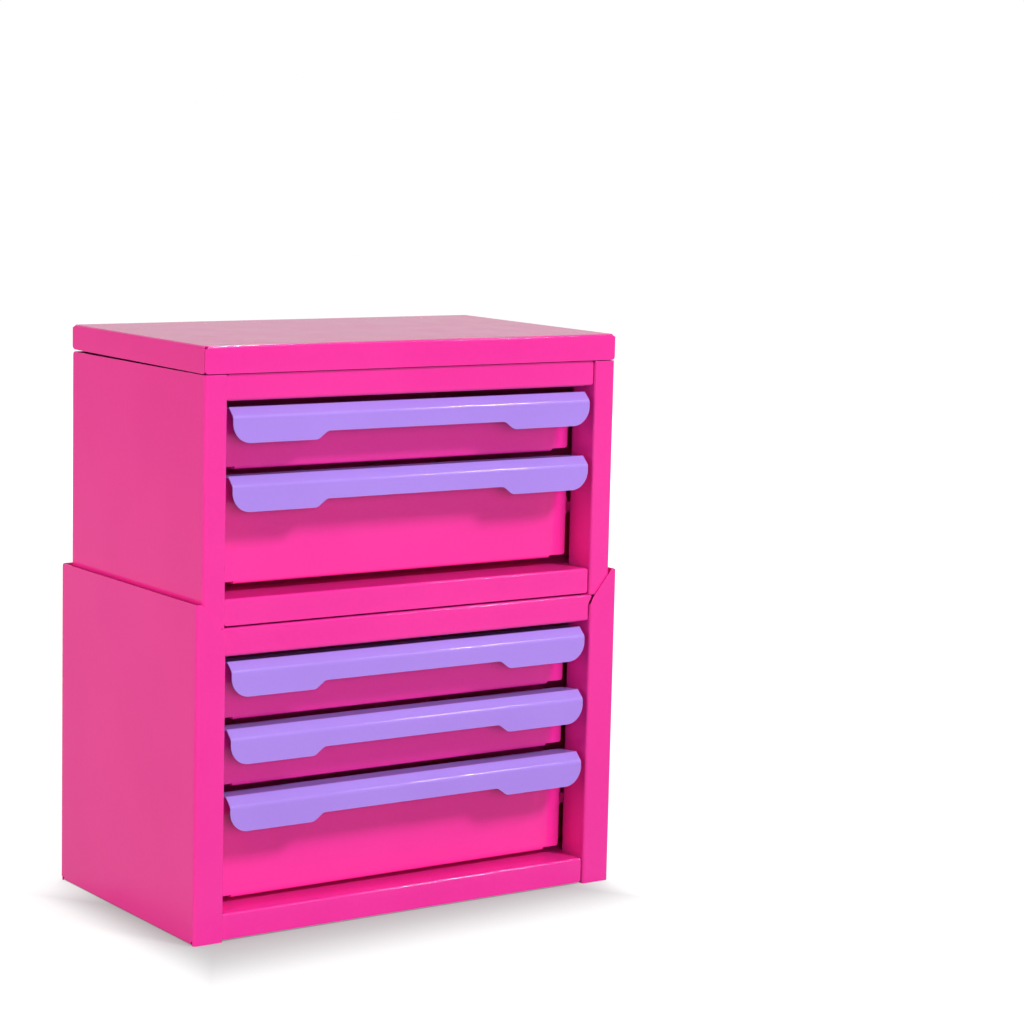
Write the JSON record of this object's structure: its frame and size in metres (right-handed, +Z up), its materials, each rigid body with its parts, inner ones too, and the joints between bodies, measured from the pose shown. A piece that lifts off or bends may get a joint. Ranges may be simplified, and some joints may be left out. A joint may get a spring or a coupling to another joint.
{
  "type": "desktop drawer unit",
  "caption": "Two-tier folded steel desktop drawer unit with full-width lipped pulls, a lift-off upper chest and a hinged lid over a shallow till.",
  "frame": {"origin": "centre of the footprint, on the table", "axes": "+Z up, +X to the right as seen from the front, +Y towards the back; the drawers open along -Y"},
  "size_m": [0.28, 0.162, 0.3265],
  "materials": {
    "pink_coat": "semi-gloss powder coat",
    "lavender_coat": "semi-gloss powder coat",
    "zinc_steel": "zinc plated"
  },
  "bodies": {
    "lower_chest": {"lower_left_side": "pink_coat", "lower_right_side": "pink_coat", "lower_back_panel": "pink_coat", "lower_floor_pan": "pink_coat", "lower_deck": "pink_coat", "lower_uprights": "pink_coat", "drawer_3_cabinet_rails": "pink_coat", "drawer_4_cabinet_rails": "pink_coat", "drawer_5_cabinet_rails": "pink_coat"},
    "upper_chest": {"upper_left_side": "pink_coat", "upper_right_side": "pink_coat", "upper_back_panel": "pink_coat", "upper_floor_pan": "pink_coat", "upper_till": "pink_coat", "upper_uprights": "pink_coat", "hinge_chest_leaves": "zinc_steel", "hinge_pins": "zinc_steel", "hinge_chest_rivets": "zinc_steel", "drawer_1_cabinet_rails": "pink_coat", "drawer_2_cabinet_rails": "pink_coat"},
    "lid": {"lid_cover": "pink_coat", "hinge_lid_leaves": "zinc_steel", "hinge_lid_rivets": "zinc_steel"},
    "drawer_1": {"drawer_1_front": "pink_coat", "drawer_1_tray": "pink_coat", "drawer_1_pull": "lavender_coat", "drawer_1_pull_rivets": "zinc_steel", "drawer_1_slide_members": "pink_coat"},
    "drawer_2": {"drawer_2_front": "pink_coat", "drawer_2_tray": "pink_coat", "drawer_2_pull": "lavender_coat", "drawer_2_pull_rivets": "zinc_steel", "drawer_2_slide_members": "pink_coat"},
    "drawer_3": {"drawer_3_front": "pink_coat", "drawer_3_tray": "pink_coat", "drawer_3_pull": "lavender_coat", "drawer_3_pull_rivets": "zinc_steel", "drawer_3_slide_members": "pink_coat"},
    "drawer_4": {"drawer_4_front": "pink_coat", "drawer_4_tray": "pink_coat", "drawer_4_pull": "lavender_coat", "drawer_4_pull_rivets": "zinc_steel", "drawer_4_slide_members": "pink_coat"},
    "drawer_5": {"drawer_5_front": "pink_coat", "drawer_5_tray": "pink_coat", "drawer_5_pull": "lavender_coat", "drawer_5_pull_rivets": "zinc_steel", "drawer_5_slide_members": "pink_coat"}
  },
  "joints": [
    {"name": "upper_chest_lift", "type": "slide", "parent": "lower_chest", "child": "upper_chest", "axis": [0, 0, 1], "range_m": [0, 0.03]},
    {"name": "lid_hinge", "type": "hinge", "parent": "upper_chest", "child": "lid", "pos_m": [0, 0.0791, 0.31145], "axis": [-1, 0, 0], "range_deg": [0, 100]},
    {"name": "drawer_1_slide", "type": "slide", "parent": "upper_chest", "child": "drawer_1", "axis": [0, -1, 0], "range_m": [0, 0.09]},
    {"name": "drawer_2_slide", "type": "slide", "parent": "upper_chest", "child": "drawer_2", "axis": [0, -1, 0], "range_m": [0, 0.09]},
    {"name": "drawer_3_slide", "type": "slide", "parent": "lower_chest", "child": "drawer_3", "axis": [0, -1, 0], "range_m": [0, 0.09]},
    {"name": "drawer_4_slide", "type": "slide", "parent": "lower_chest", "child": "drawer_4", "axis": [0, -1, 0], "range_m": [0, 0.09]},
    {"name": "drawer_5_slide", "type": "slide", "parent": "lower_chest", "child": "drawer_5", "axis": [0, -1, 0], "range_m": [0, 0.09]}
  ]
}
